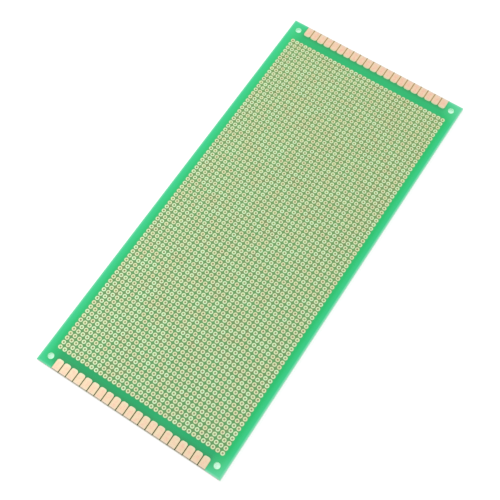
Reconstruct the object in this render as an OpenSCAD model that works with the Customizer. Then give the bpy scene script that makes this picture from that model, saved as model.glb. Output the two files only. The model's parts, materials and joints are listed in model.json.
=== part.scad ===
// Perfboard: a drilled glass-fibre panel with a full grid of copper pads on its
// upper face, a row of contact fingers along both short edges and a mounting
// hole in each corner. Millimetres, underside on z = 0, long side along Y.

/* [Board] */
// Width of the board, along X
board_w = 100; // [97:0.5:160]
// Length of the board, along Y
board_l = 220; // [160:0.5:300]
// Thickness of the bare laminate
board_t = 1.6; // [0.8:0.1:3.2]

/* [Lead hole grid] */
// Distance from one lead hole to the next
pitch = 2.54; // [2.3:0.01:5.08]
// Diameter of a lead hole
hole_d = 1.0; // [0.6:0.05:1.5]
// Outside diameter of a pad
pad_d = 2.15; // [1.8:0.01:2.2]
// Least distance from the outer pads to the long edges
side_margin = 4; // [1:0.1:20]
// Least distance from the outer pads to the short edges
end_margin = 9; // [8:0.1:40]
// Distance from the middle of the board to the middle of the grid, along Y
grid_shift = -0.6; // [-0.8:0.1:0.8]

/* [Contact fingers] */
// Distance from one finger to the next
finger_pitch = 4; // [3.8:0.1:8]
// Width of a finger
finger_w = 3.6; // [2.6:0.1:3.7]
// Length of a finger, from the edge of the board
finger_l = 5.7; // [3:0.1:6.5]
// Radius of the two corners at a finger's inner end
finger_r = 1.2; // [0.2:0.1:1.25]

/* [Mounting holes] */
// Diameter of a mounting hole
mount_d = 3; // [2:0.1:4.2]
// Distance from a mounting hole's centre to both of its edges
mount_inset = 4.6; // [3:0.1:6]
// Bare land kept between a mounting hole and the nearest finger
mount_land = 1; // [0.3:0.1:4]

/* [Surface layers] */
// Thickness of the copper foil
foil_t = 0.035; // [0.018:0.001:0.105]
// Thickness of the solder mask
mask_t = 0.025; // [0.015:0.001:0.04]
// Gap between the solder mask and the copper or hole that it leaves bare
mask_gap = 0.03; // [0.01:0.005:0.04]

/* [Hidden] */
// Number of whole pitches that fit in a span once one item of the given width is in it
function pitches_in(span, step, item) = floor((span - item) / step);
cols = pitches_in(board_w - 2 * side_margin, pitch, pad_d) + 1;
rows = pitches_in(board_l - 2 * end_margin, pitch, pad_d) + 1;
finger_span = board_w - 2 * (mount_inset + mount_d / 2 + mount_land);
fingers = pitches_in(finger_span, finger_pitch, finger_w) + 1;
// The rows are grouped in bands from the near end, and a hairline score in each
// face parts one band from the next, so no single face carries every hole
bands = 10;
score_w = 0.02;
// Depth of a score as a share of the layer, and the most that it cuts
score_share = 0.4;
score_most = 0.02;
// How far a cutting solid runs past the surface that it cuts
past = 1;
laminate_colour = [0.84, 0.87, 0.72];
mask_colour = [0.22, 0.7, 0.44];
copper_colour = [0.96, 0.83, 0.7];

function column_x(i) = (i - (cols - 1) / 2) * pitch;
function row_y(j) = grid_shift + (j - (rows - 1) / 2) * pitch;
function first_row(band) = floor((band - 1) * rows / bands);
function last_row(band) = first_row(band + 1) - 1;

// Puts a copy of its child on each lead hole from one row to another
module on_grid(first = 0, last = rows - 1)
    for (i = [0 : 1 : cols - 1], j = [first : 1 : last])
        translate([column_x(i), row_y(j), 0]) children();

// Puts a copy of its child on each mounting hole
module on_mounts()
    for (x = [-1, 1], y = [-1, 1])
        translate([x * (board_w / 2 - mount_inset), y * (board_l / 2 - mount_inset), 0])
            children();

// Puts a copy of its child on each finger of one short edge, with +Y pointing inwards
module on_fingers(side)
    for (k = [0 : 1 : fingers - 1])
        translate([(k - (fingers - 1) / 2) * finger_pitch, side * board_l / 2, 0])
            rotate(side > 0 ? 180 : 0) children();

// A plate as wide and long as the board
module plate(thickness)
    translate([-board_w / 2, -board_l / 2, 0]) cube([board_w, board_l, thickness]);

// A drill that goes through a plate of the given thickness
module drill(d, thickness)
    translate([0, 0, -past]) cylinder(d = d, h = thickness + 2 * past);

// The hairline scores between the bands, in both faces of a plate
module scores(thickness) {
    depth = min(score_most, score_share * thickness);
    for (band = [1 : bands - 1], z = [-past, thickness - depth]) {
        middle = (row_y(last_row(band)) + row_y(first_row(band + 1))) / 2;
        translate([-board_w / 2 - past, middle - score_w / 2, z])
            cube([board_w + 2 * past, score_w, past + depth]);
    }
}

// A finger's outline: square at the board's edge and round at its inner corners.
// grow widens it all round, and out carries it past the edge.
module finger_outline(grow = 0, out = 0) {
    r = finger_r + grow;
    half = finger_w / 2 + grow;
    tip = finger_l + grow;
    translate([-half, -out]) square([2 * half, tip - r + out]);
    translate([r - half, 0]) square([2 * (half - r), tip]);
    for (x = [r - half, half - r]) translate([x, tip - r]) circle(r);
}

// The bare glass-fibre panel, with its lead holes and mounting holes
module laminate_panel()
    color(laminate_colour) difference() {
        plate(board_t);
        on_grid() drill(hole_d, board_t);
        on_mounts() drill(mount_d, board_t);
        scores(board_t);
    }

// The printed coat on the upper face, open over every pad, finger and mounting hole
module solder_mask()
    color(mask_colour) translate([0, 0, board_t]) difference() {
        plate(mask_t);
        on_grid() drill(pad_d + 2 * mask_gap, mask_t);
        on_mounts() drill(mount_d + 2 * mask_gap, mask_t);
        for (side = [-1, 1])
            on_fingers(side) translate([0, 0, -past])
                linear_extrude(mask_t + 2 * past) finger_outline(grow = mask_gap, out = past);
        scores(mask_t);
    }

// One ring of copper foil round a lead hole, turned from its section
module pad()
    rotate_extrude() translate([hole_d / 2, 0]) square([(pad_d - hole_d) / 2, foil_t]);

// The pads of one band of rows
module pads_band(band)
    color(copper_colour) translate([0, 0, board_t])
        on_grid(first_row(band), last_row(band)) pad();

// The contact fingers along one short edge: -1 is the near edge and 1 is the far one
module edge_fingers(side)
    color(copper_colour) translate([0, 0, board_t])
        on_fingers(side) linear_extrude(foil_t) finger_outline();

laminate_panel();
solder_mask();
pads_band(1);  // pads_band_1
pads_band(2);  // pads_band_2
pads_band(3);  // pads_band_3
pads_band(4);  // pads_band_4
pads_band(5);  // pads_band_5
pads_band(6);  // pads_band_6
pads_band(7);  // pads_band_7
pads_band(8);  // pads_band_8
pads_band(9);  // pads_band_9
pads_band(10);  // pads_band_10
edge_fingers(-1);  // near_fingers
edge_fingers(1);  // far_fingers
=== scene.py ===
import json
import math

import bmesh
import bpy
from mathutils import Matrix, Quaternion, Vector


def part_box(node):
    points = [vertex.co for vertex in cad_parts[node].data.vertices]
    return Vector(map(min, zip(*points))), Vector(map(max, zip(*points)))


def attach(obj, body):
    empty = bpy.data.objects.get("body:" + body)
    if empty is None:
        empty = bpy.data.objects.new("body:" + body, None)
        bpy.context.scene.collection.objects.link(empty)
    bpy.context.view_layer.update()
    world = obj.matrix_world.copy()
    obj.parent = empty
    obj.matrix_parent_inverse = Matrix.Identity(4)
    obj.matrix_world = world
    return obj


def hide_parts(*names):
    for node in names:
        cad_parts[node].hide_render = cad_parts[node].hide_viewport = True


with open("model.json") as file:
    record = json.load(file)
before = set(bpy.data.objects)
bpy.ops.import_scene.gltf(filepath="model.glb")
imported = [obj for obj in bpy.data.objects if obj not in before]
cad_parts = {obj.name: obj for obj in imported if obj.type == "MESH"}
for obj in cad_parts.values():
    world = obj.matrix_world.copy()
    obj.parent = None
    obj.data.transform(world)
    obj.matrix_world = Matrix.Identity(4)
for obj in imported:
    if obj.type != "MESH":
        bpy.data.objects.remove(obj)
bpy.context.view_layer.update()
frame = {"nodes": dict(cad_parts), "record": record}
mm = 0.001

# What the frame says of the board. The two pitches are the standard ones, and the
# counts and widths follow from the boxes of the copper.
pitch = 2.54 * mm
contactPitch = 4 * mm
panelLow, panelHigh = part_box("laminate_panel")
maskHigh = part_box("solder_mask")[1]
bandNames = sorted(name for name in frame["nodes"] if name.startswith("pads_band_"))
bandBoxes = {name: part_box(name) for name in bandNames}
nearLow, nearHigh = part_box("near_fingers")
cornerHoles = next(m for m in frame["record"]["mounts"] if m["name"] == "corner_holes")


def countIn(length, step):
    return int(length / step) + 1  # the last item is narrower than one step


fieldLow = Vector(min(box[0][i] for box in bandBoxes.values()) for i in range(2))
fieldHigh = Vector(max(box[1][i] for box in bandBoxes.values()) for i in range(2))
columns = countIn(fieldHigh.x - fieldLow.x, pitch)
rows = countIn(fieldHigh.y - fieldLow.y, pitch)
padDiameter = fieldHigh.x - fieldLow.x - (columns - 1) * pitch
fieldCentre = (fieldLow + fieldHigh) / 2
fieldHalf = Vector((columns, rows)) * pitch / 2  # out to the edges of the outer cells
contactCount = countIn(nearHigh.x - nearLow.x, contactPitch)
contactWidth = nearHigh.x - nearLow.x - (contactCount - 1) * contactPitch
contactLength = nearHigh.y - nearLow.y
print("board:", columns, "columns,", rows, "rows,", contactCount, "contacts at each end")


def newObject(name, data):
    made = bpy.data.objects.new(name, data)
    bpy.context.scene.collection.objects.link(made)
    return made


def meshFrom(bm, name):
    mesh = bpy.data.meshes.new(name)
    bm.to_mesh(mesh)
    bm.free()
    return mesh


def evenRadius(radius, segments):
    # of the polygon that covers as much as the circle does
    return radius * math.sqrt(2 * math.pi / (segments * math.sin(2 * math.pi / segments)))


def circlePoints(radius, segments, x=0.0, y=0.0):
    # from the diagonal, so that each quarter faces one side of a square cell
    r = evenRadius(radius, segments)
    angles = [math.pi / 4 + 2 * math.pi * k / segments for k in range(segments)]
    return [(x + r * math.cos(a), y + r * math.sin(a)) for a in angles]


def closeRing(bm, low, high, inwards=False):
    # a wall of quads between two rings of vertices, counted anticlockwise
    for k in range(len(low)):
        n = (k + 1) % len(low)
        quad = (low[k], low[n], high[n], high[k])
        bm.faces.new(tuple(reversed(quad)) if inwards else quad)


# The tree that lays copies of an item out on a grid and welds them to a base mesh.


def gridTree():
    tree = bpy.data.node_groups.new("copiesOnGrid", "GeometryNodeTree")
    wanted = {
        "Base": "Geometry", "Item": "Object", "Columns": "Int", "Rows": "Int",
        "Column pitch": "Float", "Row pitch": "Float", "Centre": "Vector",
        "Weld distance": "Float", "Seed": "Int", "Finish": "Material",
    }
    for name, kind in wanted.items():
        tree.interface.new_socket(name, in_out="INPUT", socket_type="NodeSocket" + kind)
    tree.interface.new_socket("Geometry", in_out="OUTPUT", socket_type="NodeSocketGeometry")
    given = tree.nodes.new("NodeGroupInput").outputs

    def add(kind, settings=None, sockets=None):
        node = tree.nodes.new(kind)
        for key, value in (settings or {}).items():
            setattr(node, key, value)
        for key, value in (sockets or {}).items():
            if isinstance(value, bpy.types.NodeSocket):
                tree.links.new(value, node.inputs[key])
            else:
                node.inputs[key].default_value = value
        return node.outputs

    def span(count, step):
        gaps = add("ShaderNodeMath", {"operation": "SUBTRACT"}, {0: given[count], 1: 1.0})[0]
        return add("ShaderNodeMath", {"operation": "MULTIPLY"}, {0: gaps, 1: given[step]})[0]

    size = {
        "Size X": span("Columns", "Column pitch"), "Size Y": span("Rows", "Row pitch"),
        "Vertices X": given["Columns"], "Vertices Y": given["Rows"],
    }
    points = add("GeometryNodeMeshGrid", sockets=size)["Mesh"]
    placed = add("GeometryNodeSetPosition", sockets={"Geometry": points, "Offset": given["Centre"]})[0]
    item = add("GeometryNodeObjectInfo", {"transform_space": "ORIGINAL"}, {"Object": given["Item"]})
    copies = add("GeometryNodeInstanceOnPoints", sockets={"Points": placed, "Instance": item["Geometry"]})[0]
    chance = add("FunctionNodeRandomValue", {"data_type": "FLOAT"}, {"Seed": given["Seed"]})
    tone = next(socket for socket in chance if socket.type == "VALUE")
    toned = add(
        "GeometryNodeStoreNamedAttribute", {"data_type": "FLOAT", "domain": "INSTANCE"},
        {"Geometry": copies, "Name": "tone", "Value": tone},
    )[0]
    real = add("GeometryNodeRealizeInstances", sockets={"Geometry": toned})[0]
    join = tree.nodes.new("GeometryNodeJoinGeometry")
    tree.links.new(real, join.inputs[0])
    tree.links.new(given["Base"], join.inputs[0])
    weld = {"Geometry": join.outputs[0], "Distance": given["Weld distance"]}
    welded = add("GeometryNodeMergeByDistance", sockets=weld)[0]
    finished = add("GeometryNodeSetMaterial", sockets={"Geometry": welded, "Material": given["Finish"]})[0]
    tree.links.new(finished, tree.nodes.new("NodeGroupOutput").inputs[0])
    return tree


copiesOnGrid = gridTree()


def layOut(name, item, finish, inputs, base=None):
    # runs the tree on a base mesh, which may be empty, and keeps the plain result
    host = newObject(name, base or bpy.data.meshes.new(name))
    model = newObject(name + "Item", item)
    modifier = host.modifiers.new("layOut", "NODES")
    modifier.node_group = copiesOnGrid
    values = {**inputs, "Item": model, "Finish": finish}
    for socket in copiesOnGrid.interface.items_tree:
        if socket.in_out == "INPUT" and socket.name in values:
            modifier[socket.identifier] = values[socket.name]
    host.update_tag()
    graph = bpy.context.evaluated_depsgraph_get()
    graph.update()
    laid = host.evaluated_get(graph)
    result = bpy.data.meshes.new_from_object(laid, preserve_all_data_layers=True, depsgraph=graph)
    host.modifiers.clear()
    host.data = result
    result.name = name
    bpy.data.objects.remove(model)
    return host


def standsFor(piece, node):
    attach(piece, "root")
    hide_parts(node)
    print("piece:", piece.name, len(piece.data.polygons), "faces")


# Shader maths.


class Value:
    # a number in a shader tree, so that sums are written as Python does

    def __init__(self, finish, socket):
        self.finish = finish
        self.socket = socket

    def math(self, operation, *others, clamp=False):
        return self.finish.math(operation, self, *others, clamp=clamp)

    def __add__(self, other):
        return self.math("ADD", other)

    def __sub__(self, other):
        return self.math("SUBTRACT", other)

    def __rsub__(self, other):
        return self.finish.math("SUBTRACT", other, self)

    def __mul__(self, other):
        return self.math("MULTIPLY", other)

    def __truediv__(self, other):
        return self.math("DIVIDE", other)

    def __pow__(self, other):
        return self.math("POWER", other)

    def __lt__(self, other):
        return self.math("LESS_THAN", other)

    def __gt__(self, other):
        return self.math("GREATER_THAN", other)

    def __abs__(self):
        return self.math("ABSOLUTE")

    __radd__ = __add__
    __rmul__ = __mul__

    def held(self):
        return self.math("ADD", 0, clamp=True)  # kept between 0 and 1


class Finish:
    # a material under way: node() makes any node, and look() sets the shader's sockets

    def __init__(self, name):
        self.material = bpy.data.materials.new(name)
        self.material.use_nodes = True
        self.tree = self.material.node_tree
        self.shader = self.tree.nodes["Principled BSDF"]
        self.place = self.node("ShaderNodeTexCoord").outputs["Object"]

    def put(self, socket, value):
        if isinstance(value, Value):
            value = value.socket
        if isinstance(value, bpy.types.NodeSocket):
            self.tree.links.new(value, socket)
        elif isinstance(value, tuple) and len(value) == 3 and socket.type == "RGBA":
            socket.default_value = (*value, 1)
        else:
            socket.default_value = value

    def node(self, kind, settings=None, sockets=None):
        made = self.tree.nodes.new(kind)
        for key, value in (settings or {}).items():
            setattr(made, key, value)
        for key, value in (sockets or {}).items():
            self.put(made.inputs[key], value)
        return made

    def math(self, operation, *values, clamp=False):
        settings = {"operation": operation, "use_clamp": clamp}
        return Value(self, self.node("ShaderNodeMath", settings, dict(enumerate(values))).outputs[0])

    def axes(self):
        split = self.node("ShaderNodeSeparateXYZ", sockets={0: self.place}).outputs
        return [Value(self, socket) for socket in split]

    def noise(self, size, detail=2.0, stretch=(1, 1, 1)):
        # size is the width of a patch in metres
        reach = tuple(share / size for share in stretch)
        scaled = self.node("ShaderNodeVectorMath", {"operation": "MULTIPLY"}, {0: self.place, 1: reach})
        sockets = {"Vector": scaled.outputs[0], "Scale": 1.0, "Detail": detail}
        return Value(self, self.node("ShaderNodeTexNoise", sockets=sockets).outputs[0])

    def attribute(self, name):
        return Value(self, self.node("ShaderNodeAttribute", {"attribute_name": name}).outputs["Fac"])

    def mix(self, share, first, second):
        made = self.node("ShaderNodeMix", {"data_type": "RGBA"})
        ends = [socket for socket in made.inputs if socket.type == "RGBA"]
        self.put(made.inputs[0], share)
        self.put(ends[0], first)
        self.put(ends[1], second)
        return next(socket for socket in made.outputs if socket.type == "RGBA")

    def bump(self, height, depth):
        # depth in metres for a height of 1
        return self.node("ShaderNodeBump", sockets={"Height": height, "Distance": depth}).outputs[0]

    def look(self, sockets):
        for key, value in sockets.items():
            self.put(self.shader.inputs[key], value)
        return self.material


def written(red, green, blue):
    # a colour as a screen shows it, 0 to 255, turned to the shader's linear scale
    def line(c):
        c /= 255
        return c / 12.92 if c <= 0.04045 else ((c + 0.055) / 1.055) ** 2.4

    return (line(red), line(green), line(blue))


black, white = written(0, 0, 0), written(255, 255, 255)


def edgeDistance(finish):
    # metres from the nearest edge of the board
    x, y, _ = finish.axes()
    return finish.math("MINIMUM", panelHigh.x - abs(x), panelHigh.y - abs(y))


def fieldShare(finish, blur=0.1 * mm):
    # 1 over the grid of pads and 0 on the plain margins
    x, y, _ = finish.axes()
    across = ((fieldHalf.x - abs(x - fieldCentre.x)) / blur).held()
    along = ((fieldHalf.y - abs(y - fieldCentre.y)) / blur).held()
    return across * along


def contactShare(finish):
    # 1 between the straight sides of the contacts, where the gaps get painted shade, and 0 elsewhere
    x, y, _ = finish.axes()
    straight = panelHigh.y - contactLength + contact["roundPart"]
    reach = contactPitch * (contactCount - 1) / 2
    whole = abs(y) < panelHigh.y - contact["footEnds"][0]
    return ((abs(y) - straight) / contact["gapFade"]).held() * (abs(x) < reach) * whole


# The two drilled layers: a margin with the outer wall and the corner holes, and one
# square cell for each lead hole, welded to the margin and to the cells beside it.

mountHole = {
    "x": cornerHoles["dims"]["spacing_x_mm"] * mm / 2,
    "y": cornerHoles["dims"]["spacing_y_mm"] * mm / 2,
    "radius": cornerHoles["dims"]["hole_r_mm"] * mm,
    "segments": 36,
}
contact = {
    "cornerRadius": 1.2 * mm,
    "cornerSteps": 7,
    "roundPart": 0.48 * mm,       # of the tip, where the painted shade in the gap beside it hasn't begun
    "bevel": 0.012 * mm,
    "bevelSteps": 2,
    "seed": 5,
    "pink": written(253, 203, 174),
    # pinkFar and goldFar are painted light: the same copper, a little darker and redder at the far end
    "pinkFar": written(255, 198, 168),
    "gold": written(248, 227, 189),
    "goldFar": written(255, 220, 187),
    # brush marks, lightened with painted sheen
    "bright": written(255, 232, 214),
    "cream": written(244, 230, 192),                # towards the long sides
    "end": written(236, 226, 212),                  # painted light towards the board's edge
    "tip": written(234, 240, 202),
    "tipFar": written(190, 230, 178),
    "side": written(222, 204, 150),
    # painted shade along the cut end of the near contacts
    "foot": written(146, 136, 116),
    "cutEnd": written(228, 224, 208),
    "tipLength": 1.1 * mm,
    "sideWidth": 0.5 * mm,
    "footEnds": (0.12 * mm, 0.42 * mm),
    "endLength": 1.4 * mm,
    "gapFade": 0.5 * mm,
    "cloudSize": 1.8 * mm,
    "cloudContrast": 3,
    "brushSize": 1.2 * mm,
    "brushStretch": (3.2, 0.35, 1),
    "brushDepth": 0.003 * mm,
    "cloudShare": 0.8,
    "toneShare": 0.2,
    "brightShare": 0.12,
    "creamShare": 0.8,
    "endShare": 0.6,
    "tipShare": 0.85,
    "metal": 0.25,
    "roughness": 0.36,
    "brushRoughness": 0.12,
}


def contactProfile(grow=0.0):
    # from the left foot over the round inner corners to the right foot, y inwards from the edge
    r = contact["cornerRadius"] + grow
    half = contactWidth / 2 + grow
    tip = contactLength + grow
    steps = contact["cornerSteps"]
    arc = [math.pi / 2 * k / steps for k in range(steps + 1)]
    left = [(-half + r - r * math.cos(a), tip - r + r * math.sin(a)) for a in arc]
    return [(-half, 0.0)] + left + [(-x, y) for x, y in reversed(left)] + [(half, 0.0)]


def boardOutline(openContacts, grow):
    # anticlockwise from the near left corner, round the contacts where they are left open
    near = [(panelLow.x, panelLow.y)]
    if openContacts:
        for k in range(contactCount):
            x = (k - (contactCount - 1) / 2) * contactPitch
            near += [(x + px, panelLow.y + py) for px, py in contactProfile(grow)]
    near.append((panelHigh.x, panelLow.y))
    return near + [(-x, -y) for x, y in near]


def fieldOutline():
    # one point at each corner of the outer cells, so that the cells weld to it
    xs = [fieldCentre.x - fieldHalf.x + k * pitch for k in range(columns + 1)]
    ys = [fieldCentre.y - fieldHalf.y + k * pitch for k in range(rows + 1)]
    near = [(x, ys[0]) for x in xs]
    right = [(xs[-1], y) for y in ys[1:]]
    far = [(x, ys[-1]) for x in reversed(xs[:-1])]
    left = [(xs[0], y) for y in reversed(ys[1:-1])]
    return near + right + far + left


def marginMesh(name, low, high, openContacts=False, grow=0.0):
    bm = bmesh.new()
    radius, segments = mountHole["radius"] + grow, mountHole["segments"]
    corners = [(sx * mountHole["x"], sy * mountHole["y"]) for sx in (-1, 1) for sy in (-1, 1)]
    walls = [(boardOutline(openContacts, grow), False)]
    walls += [(circlePoints(radius, segments, x, y), True) for x, y in corners]
    edges, twin = [], {}
    for loop, inwards in walls + [(fieldOutline(), None)]:
        top = [bm.verts.new((x, y, high)) for x, y in loop]
        bottom = [bm.verts.new((x, y, low)) for x, y in loop]
        twin.update(zip(top, bottom))
        edges += [bm.edges.new((top[k], top[(k + 1) % len(top)])) for k in range(len(top))]
        if inwards is not None:
            closeRing(bm, bottom, top, inwards)
    filled = bmesh.ops.triangle_fill(bm, use_beauty=True, edges=edges, normal=(0, 0, 1))
    for face in [g for g in filled["geom"] if isinstance(g, bmesh.types.BMFace)]:
        if face.normal.z < 0:
            face.normal_flip()
        bm.faces.new([twin[v] for v in reversed(face.verts)])
    return meshFrom(bm, name)


def cellMesh(name, radius, low, high):
    # a square with its round hole, open at the four sides where cells weld
    bm = bmesh.new()
    segments = cell["segments"]
    quarter = segments // 4
    half = pitch / 2
    squares = [(half, half), (-half, half), (-half, -half), (half, -half)]
    ringAt = {}
    for z in (low, high):
        corners = [bm.verts.new((x, y, z)) for x, y in squares]
        ringAt[z] = [bm.verts.new((x, y, z)) for x, y in circlePoints(radius, segments)]
        for side in range(4):
            arc = [ringAt[z][(side * quarter + k) % segments] for k in range(quarter + 1)]
            face = [corners[side], corners[(side + 1) % 4]] + arc[::-1]
            bm.faces.new(face if z == high else face[::-1])
    closeRing(bm, ringAt[low], ringAt[high], inwards=True)
    return meshFrom(bm, name)


cell = {"leadDiameter": 1.0 * mm, "segments": 12, "weld": 0.002 * mm, "seed": 3}
onField = {
    "Columns": columns, "Rows": rows, "Column pitch": pitch, "Row pitch": pitch,
    "Centre": (fieldCentre.x, fieldCentre.y, 0.0), "Weld distance": cell["weld"], "Seed": cell["seed"],
}

laminate = {
    "face": written(206, 208, 168),
    "weft": written(176, 186, 140),
    "blotch": written(216, 212, 182),
    # the long edges and the corner-hole walls are painted pale mint: painted light coming through the
    # laminate
    "longEdgeGlow": written(186, 236, 210),
    "shortEdge": written(196, 188, 170),
    "ply": written(168, 170, 132),
    # painted shade in the narrow gaps between the contacts
    "betweenContacts": written(24, 44, 4),
    # lead-hole walls: amber-brown painted shade deep in the narrow holes, and a pale painted glow of light
    # through the laminate
    "holeWallShade": written(178, 172, 118),
    "holeWallGlow": written(210, 224, 172),
    "mountWallGlow": written(186, 238, 208),
    "wallGlow": 0.22,             # light that comes through the laminate to its cut edges
    "shortEdgeDimmed": 0.8,
    "rimWidth": 0.2 * mm,
    "weaveSize": 0.52 * mm,
    "weaveDepth": 0.006 * mm,
    "weaveShare": 0.22,
    "plyHeight": 0.2 * mm,
    "plyShare": 0.25,
    "blotchSize": 9 * mm,
    "blotchShare": 0.3,
    "roughness": 0.5,
    "weaveRoughness": 0.15,
    "ior": 1.52,
}


def glassLaminate():
    finish = Finish("glassLaminate")
    x, y, z = finish.axes()
    turn = 2 * math.pi / laminate["weaveSize"]
    weave = finish.math("SINE", x * turn) * finish.math("SINE", y * turn) * 0.5 + 0.5
    plies = finish.math("SINE", z * (2 * math.pi / laminate["plyHeight"])) * 0.5 + 0.5
    normal = finish.node("ShaderNodeNewGeometry").outputs["Normal"]
    facing = Value(finish, finish.node("ShaderNodeSeparateXYZ", sockets={0: normal}).outputs["Z"])
    upright = abs(facing) < 0.5
    inField = fieldShare(finish) > 0.5
    rim = edgeDistance(finish) < laminate["rimWidth"]
    longSide = abs(x) > panelHigh.x - laminate["rimWidth"]
    blotch = finish.noise(laminate["blotchSize"], detail=3)
    face = finish.mix(weave * laminate["weaveShare"], laminate["face"], laminate["weft"])
    face = finish.mix(blotch * laminate["blotchShare"], face, laminate["blotch"])
    # painted shade on the laminate's top in the gaps between the contacts
    face = finish.mix(contactShare(finish) * (z > panelHigh.z / 2), face, laminate["betweenContacts"])
    edge = finish.mix(longSide, laminate["shortEdge"], laminate["longEdgeGlow"])
    edge = finish.mix(plies * laminate["plyShare"], edge, laminate["ply"])
    paleness = (finish.attribute("tone") - 0.5) * z / panelHigh.z + 0.5  # each hole's share of painted glow, drawn at random; holes differ most near the top
    drilled = finish.mix(paleness, laminate["holeWallShade"], laminate["holeWallGlow"])
    wall = finish.mix(inField, laminate["mountWallGlow"], drilled)
    wall = finish.mix(rim, wall, edge)
    # painted glow on the cut walls, dimmed on the short edges
    lit = upright * (1 - rim * (1 - longSide) * laminate["shortEdgeDimmed"])
    return finish.look({
        "Base Color": finish.mix(upright, face, wall),
        "Roughness": laminate["roughness"] + weave * laminate["weaveRoughness"],
        "Emission Color": finish.mix(lit, black, wall),
        "Emission Strength": laminate["wallGlow"],
        "Normal": finish.bump(weave * (1 - upright), laminate["weaveDepth"]),
        "IOR": laminate["ior"],
    })


print("stage: laminate")
laminateMargin = marginMesh("laminateMargin", panelLow.z, panelHigh.z)
laminateCell = cellMesh("laminateCell", cell["leadDiameter"] / 2, panelLow.z, panelHigh.z)
laminateBoard = layOut("laminateBoard", laminateCell, glassLaminate(), onField, base=laminateMargin)
standsFor(laminateBoard, "laminate_panel")


mask = {
    "gap": 0.03 * mm,                               # between the coat and the foil
    "deep": written(22, 168, 98),                   # behind the near contacts; the right and far copies are lighter with painted light
    "deepRight": written(38, 178, 112),
    "deepFar": written(44, 190, 115),
    "bright": written(24, 213, 126),                # the side bands, where light comes in from the edge
    "brightRight": written(30, 206, 112),
    "brightFar": written(74, 222, 138),
    "lit": written(60, 214, 150),                   # the last few millimetres
    "rim": written(146, 232, 192),                  # painted glow over the last millimetre
    # painted glow round the corners, strongest at the right and far corners
    "corner": written(128, 232, 184),
    "between": written(99, 160, 96),                # painted shade over the web between the pads, lighter at the far end
    "betweenFar": written(134, 163, 99),
    "betweenPatch": written(156, 142, 102),
    # painted shade in the gaps between the contacts: dark at the near end, tan at the far end
    "betweenContacts": written(4, 50, 2),
    "contactGapShadeFar": written(184, 133, 85),
    "shaded": written(58, 143, 87),                 # beside the tips of the contacts
    "cloud": written(70, 220, 140),
    "edgeGlow": 8.5 * mm,
    "edgeGlowFall": 0.8,
    "farGlow": 0.5,
    "litWidth": 3.6 * mm,
    "shadeWidth": 1.8 * mm,
    "shadeShare": 0.55,
    "rimWidth": 1.0 * mm,
    "rimShare": 0.64,
    "rimShareRight": 0.36,                          # more by this at the right edge
    "cornerGlow": 12 * mm,
    "cornerShare": 0.04,
    "cornerShareRight": 0.45,
    "cornerShareFar": 0.15,
    "fieldBlur": 0.9 * mm,
    "betweenShare": 0.95,
    "patchSize": 2.6 * mm,
    "patchContrast": 2.6,
    "cloudSize": 14 * mm,
    "cloudContrast": 0.3,
    "cloudShare": 0.03,
    "waveSize": 1.1 * mm,
    "waveDepth": 0.0015 * mm,
    "roughness": 0.34,
    "cloudRoughness": 0.1,
    "specular": 0.25,
    "coat": 0.06,
    "coatRoughness": 0.2,
}


def greenMask():
    finish = Finish("greenMask")
    x, y, _ = finish.axes()
    rightwards = x / (2 * panelHigh.x) + 0.5
    along = y / (2 * panelHigh.y) + 0.5
    fromSide = panelHigh.x - abs(x)
    fromEnd = panelHigh.y - abs(y)
    glow = (1 - fromSide / mask["edgeGlow"]).held() ** mask["edgeGlowFall"]
    unlit = (fromSide / mask["litWidth"]).held() * (fromEnd / mask["litWidth"]).held()
    rim = (1 - finish.math("MINIMUM", fromSide, fromEnd) / mask["rimWidth"]).held()
    shade = (1 - (fromEnd - contactLength) / mask["shadeWidth"]).held()
    shade = shade * ((nearHigh.x - abs(x)) / mask["shadeWidth"] + 0.5).held()
    corner = (1 - (fromSide ** 2 + fromEnd ** 2) ** 0.5 / mask["cornerGlow"]).held()
    cornerShare = rightwards * mask["cornerShareRight"] + along * mask["cornerShareFar"] + mask["cornerShare"]
    rimShare = mask["rimShare"] + rightwards * mask["rimShareRight"]
    cloud = finish.noise(mask["cloudSize"], detail=3)
    # painted light: the mask lighter towards the right and the far end
    deep = finish.mix(along, finish.mix(rightwards, mask["deep"], mask["deepRight"]), mask["deepFar"])
    bright = finish.mix(rightwards, mask["bright"], mask["brightRight"])
    bright = finish.mix(along * (1 - rightwards) * mask["farGlow"], bright, mask["brightFar"])
    colour = finish.mix(glow, deep, bright)
    colour = finish.mix(1 - unlit, colour, mask["lit"])
    # painted glow in the corners and along the last millimetre
    colour = finish.mix(corner * cornerShare, colour, mask["corner"])
    colour = finish.mix(rim * rimShare, colour, mask["rim"])
    colour = finish.mix(shade * mask["shadeShare"], colour, mask["shaded"])
    patch = ((finish.noise(mask["patchSize"]) - 0.5) * mask["patchContrast"]).held()
    # painted shade over the web between the pads, with random tan patches
    between = finish.mix(along, mask["between"], mask["betweenFar"])
    between = finish.mix(patch, between, mask["betweenPatch"])
    colour = finish.mix(fieldShare(finish, mask["fieldBlur"]) * mask["betweenShare"], colour, between)
    cloudShare = (cloud - 0.5) * mask["cloudContrast"] + mask["cloudShare"]
    colour = finish.mix(cloudShare, colour, mask["cloud"])
    # painted shade in the gaps between the contacts
    betweenContacts = finish.mix(along, mask["betweenContacts"], mask["contactGapShadeFar"])
    colour = finish.mix(contactShare(finish), colour, betweenContacts)
    return finish.look({
        "Base Color": colour,
        "Roughness": mask["roughness"] + cloud * mask["cloudRoughness"],
        "Normal": finish.bump(finish.noise(mask["waveSize"]), mask["waveDepth"]),
        "Specular IOR Level": mask["specular"],
        "Coat Weight": mask["coat"],
        "Coat Roughness": mask["coatRoughness"],
    })


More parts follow.
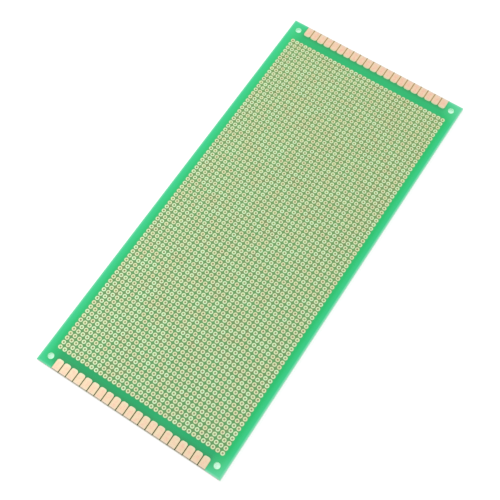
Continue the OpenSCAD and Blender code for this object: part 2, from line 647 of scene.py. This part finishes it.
print("stage: solder mask")
maskMargin = marginMesh("maskMargin", panelHigh.z, maskHigh.z, openContacts=True, grow=mask["gap"])
maskCell = cellMesh("maskCell", padDiameter / 2 + mask["gap"], panelHigh.z, maskHigh.z)
maskCoat = layOut("maskCoat", maskCell, greenMask(), onField, base=maskMargin)
standsFor(maskCoat, "solder_mask")


# The pads, one ring of foil round each lead hole.

pad = {
    "segments": 16,
    "edgeSlope": 0.03 * mm,       # etching leaves the outer edge of the foil sloped
    "pale": written(220, 255, 206),
    "warm": written(234, 228, 178),
    # painted shade on the sloped outer edge of each pad
    "rim": written(132, 184, 118),
    "rimWidth": 0.14 * mm,
    "warmShare": 0.7,             # of the tone that each pad draws
    "stainSize": 2.2 * mm,
    "stainShare": 0.2,
    "grainSize": 0.35 * mm,
    "grainDepth": 0.002 * mm,
    "metal": 0.15,
    "roughness": 0.4,
    "toneRoughness": 0.1,
    "seed": 11,
}


def padMesh(low, high):
    bm = bmesh.new()
    inner, outer = cell["leadDiameter"] / 2, padDiameter / 2
    section = [(inner, low), (inner, high), (outer - pad["edgeSlope"], high), (outer, low)]
    rings = [
        [bm.verts.new((x, y, z)) for x, y in circlePoints(radius, pad["segments"])] for radius, z in section
    ]
    for k in range(len(rings)):
        closeRing(bm, rings[(k + 1) % len(rings)], rings[k])
    return meshFrom(bm, "padRing")


def padCopper():
    finish = Finish("padCopper")
    x, y, _ = finish.axes()
    tone = finish.attribute("tone")
    stain = finish.noise(pad["stainSize"])
    acrossPad = pitch / 2 - finish.math("PINGPONG", x - fieldCentre.x + fieldHalf.x, pitch / 2)
    alongPad = pitch / 2 - finish.math("PINGPONG", y - fieldCentre.y + fieldHalf.y, pitch / 2)
    fromRim = padDiameter / 2 - (acrossPad ** 2 + alongPad ** 2) ** 0.5
    warmth = tone * pad["warmShare"] + stain * pad["stainShare"]
    colour = finish.mix(warmth, pad["pale"], pad["warm"])
    # painted shade round the outer edge of each pad
    colour = finish.mix((1 - fromRim / pad["rimWidth"]).held(), colour, pad["rim"])
    return finish.look({
        "Base Color": colour,
        "Metallic": pad["metal"],
        "Roughness": pad["roughness"] + tone * pad["toneRoughness"],
        "Normal": finish.bump(finish.noise(pad["grainSize"]), pad["grainDepth"]),
    })


print("stage: pads")
padFinish = padCopper()
for number, name in enumerate(bandNames):
    low, high = bandBoxes[name]
    onBand = {
        "Columns": columns, "Rows": countIn(high.y - low.y, pitch), "Column pitch": pitch, "Row pitch": pitch,
        "Centre": (fieldCentre.x, (low.y + high.y) / 2, 0.0), "Weld distance": 0.0,
        "Seed": pad["seed"] + number,
    }
    rings = layOut(name.replace("pads_band_", "padRings"), padMesh(low.z, high.z), padFinish, onBand)
    standsFor(rings, name)


# The contacts: flat tongues of foil with a small bevel round the upper face.


def contactMesh(low, high, direction):
    bm = bmesh.new()
    outline = [(direction * x, direction * y, low) for x, y in contactProfile()]
    bottom = bm.faces.new([bm.verts.new(point) for point in outline])
    lifted = bmesh.ops.extrude_face_region(bm, geom=[bottom])["geom"]
    top = next(g for g in lifted if isinstance(g, bmesh.types.BMFace))
    bmesh.ops.translate(bm, vec=(0, 0, high - low), verts=top.verts)
    bmesh.ops.recalc_face_normals(bm, faces=bm.faces)
    corner = {"offset": contact["bevel"], "segments": contact["bevelSteps"], "affect": "EDGES"}
    bmesh.ops.bevel(bm, geom=list(top.edges), **corner)
    return meshFrom(bm, "contact")


def contactCopper():
    finish = Finish("contactCopper")
    x, y, _ = finish.axes()
    tone = finish.attribute("tone")
    along = (y / (2 * panelHigh.y) + 0.5).held()
    brushed = finish.noise(contact["brushSize"], detail=3, stretch=contact["brushStretch"])
    cloud = ((finish.noise(contact["cloudSize"]) - 0.5) * contact["cloudContrast"] + 0.5).held()
    halfGap = (contactPitch - contactWidth) / 2
    fromGap = finish.math("PINGPONG", x - nearLow.x + halfGap, contactPitch / 2)  # from its middle line
    fromMiddle = (contactPitch / 2 - fromGap) / (contactWidth / 2)
    fromEnd = panelHigh.y - abs(y)
    side = (1 - fromGap / (contact["sideWidth"] + halfGap)).held()
    end = (1 - fromEnd / contact["endLength"]).held()
    tip = (1 - (contactLength - fromEnd) / contact["tipLength"]).held()
    # pink and gold turn to their far copies with painted light
    pink = finish.mix(along, contact["pink"], contact["pinkFar"])
    gold = finish.mix(along, contact["gold"], contact["goldFar"])
    pale = finish.mix(along, contact["tip"], contact["tipFar"])
    colour = finish.mix(cloud * contact["cloudShare"] + tone * contact["toneShare"], pink, gold)
    # brush marks lightened with painted sheen
    colour = finish.mix(brushed * contact["brightShare"], colour, contact["bright"])
    colour = finish.mix(fromMiddle ** 2 * contact["creamShare"], colour, contact["cream"])
    # painted light: paler towards the board's edge
    colour = finish.mix(end * contact["endShare"], colour, contact["end"])
    colour = finish.mix(side, colour, contact["side"])
    colour = finish.mix(tip * contact["tipShare"], colour, pale)
    near, far = contact["footEnds"]
    # painted shade along the cut end of the near contacts
    colour = finish.mix((fromEnd < far) * (y < 0), colour, contact["foot"])
    colour = finish.mix(fromEnd < near, colour, contact["cutEnd"])
    return finish.look({
        "Base Color": colour,
        "Metallic": contact["metal"],
        "Roughness": contact["roughness"] + brushed * contact["brushRoughness"],
        "Normal": finish.bump(brushed, contact["brushDepth"]),
    })


print("stage: contacts")
contactFinish = contactCopper()
for name, direction in (("near_fingers", 1), ("far_fingers", -1)):
    low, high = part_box(name)
    onEdge = {
        "Columns": contactCount, "Rows": 1, "Column pitch": contactPitch, "Row pitch": contactPitch,
        "Centre": (0.0, -direction * panelHigh.y, 0.0), "Weld distance": 0.0,
        "Seed": contact["seed"] + direction,
    }
    end = name.split("_")[0]
    tongues = layOut(end + "Contacts", contactMesh(low.z, high.z, direction), contactFinish, onEdge)
    standsFor(tongues, name)


# Floor, light and camera.

studio = {
    "floorSize": 6.0,
    "floorDrop": 0.1 * mm,
    "floorShine": 0.64,
    "floorSeen": (0.5, 0.5, 0.5),
    "floorLit": (0.8, 0.8, 0.8),
    # painted light and shade on the floor under the board
    "underBoard": (0.5, 0.85, 0.62),
    "shadeUnderField": (0.3, 0.29, 0.23),
    "underMargin": 1.0 * mm,
    "worldLevel": 0.72,
    "keyPower": 6.0,
    "keySize": 0.9,
    "keyPlace": (-0.9, 0.05, 0.9),
    "cameraPlace": (103.35 * mm, -152.26 * mm, 409.51 * mm),
    "cameraAim": (7.87 * mm, -9.31 * mm, 1.6 * mm),
    "cameraRoll": -0.89,
    "lens": 67.27,
    "shift": -0.03,
    "clipStart": 0.01,
}


def paleFloor():
    bm = bmesh.new()
    half = studio["floorSize"] / 2
    corners = [(-half, -half), (half, -half), (half, half), (-half, half)]
    bm.faces.new([bm.verts.new((x, y, -studio["floorDrop"])) for x, y in corners])
    floor = newObject("floor", meshFrom(bm, "floor"))
    finish = Finish("floorWhite")
    seen = finish.node("ShaderNodeLightPath").outputs
    straight = finish.math("MAXIMUM", seen["Is Camera Ray"], seen["Is Glossy Ray"])
    straight = finish.math("MAXIMUM", straight, seen["Is Transmission Ray"])
    underBoard = edgeDistance(finish) > studio["underMargin"]
    glow = finish.mix(underBoard, white, studio["underBoard"])  # painted green light through the laminate, seen through the corner holes
    # painted shade on the floor under the pad field, seen through the lead holes
    glow = finish.mix(1 - fieldShare(finish), studio["shadeUnderField"], glow)
    glow = finish.mix(studio["floorShine"], black, glow)
    shine = finish.node("ShaderNodeEmission", sockets={"Color": glow}).outputs[0]
    grey = finish.node("ShaderNodeBsdfDiffuse", sockets={"Color": studio["floorSeen"]}).outputs[0]
    pale = finish.node("ShaderNodeBsdfDiffuse", sockets={"Color": studio["floorLit"]}).outputs[0]
    shown = finish.node("ShaderNodeAddShader", sockets={0: grey, 1: shine}).outputs[0]
    mixed = finish.node("ShaderNodeMixShader", sockets={0: straight, 1: pale, 2: shown}).outputs[0]
    finish.put(finish.tree.nodes["Material Output"].inputs["Surface"], mixed)
    floor.data.materials.append(finish.material)


def softLight():
    world = bpy.data.worlds.new("studio")
    bpy.context.scene.world = world
    world.use_nodes = True
    nodes, links = world.node_tree.nodes, world.node_tree.links
    lit = nodes["Background"]
    lit.inputs[0].default_value = (*white, 1)
    lit.inputs[1].default_value = studio["worldLevel"]
    backdrop = nodes.new("ShaderNodeBackground")
    backdrop.inputs[0].default_value = (*white, 1)
    mixed = nodes.new("ShaderNodeMixShader")
    links.new(nodes.new("ShaderNodeLightPath").outputs["Is Camera Ray"], mixed.inputs[0])
    links.new(lit.outputs[0], mixed.inputs[1])
    links.new(backdrop.outputs[0], mixed.inputs[2])
    links.new(mixed.outputs[0], nodes["World Output"].inputs[0])
    lamp = bpy.data.lights.new("key", "AREA")
    lamp.shape = "DISK"
    lamp.size = studio["keySize"]
    lamp.energy = studio["keyPower"]
    key = newObject("key", lamp)
    key.location = studio["keyPlace"]
    key.rotation_mode = "QUATERNION"
    key.rotation_quaternion = (-key.location).to_track_quat("-Z", "Y")


def boardCamera():
    data = bpy.data.cameras.new("camera")
    data.lens = studio["lens"]
    data.shift_x = studio["shift"]
    data.clip_start = studio["clipStart"]
    camera = newObject("camera", data)
    camera.location = studio["cameraPlace"]
    roll = Quaternion((0, 0, 1), math.radians(studio["cameraRoll"]))
    sight = Vector(studio["cameraAim"]) - camera.location
    camera.rotation_mode = "QUATERNION"
    camera.rotation_quaternion = sight.to_track_quat("-Z", "Y") @ roll
    bpy.context.scene.camera = camera


print("stage: studio")
paleFloor()
softLight()
boardCamera()
bpy.context.scene.view_settings.view_transform = "Standard"
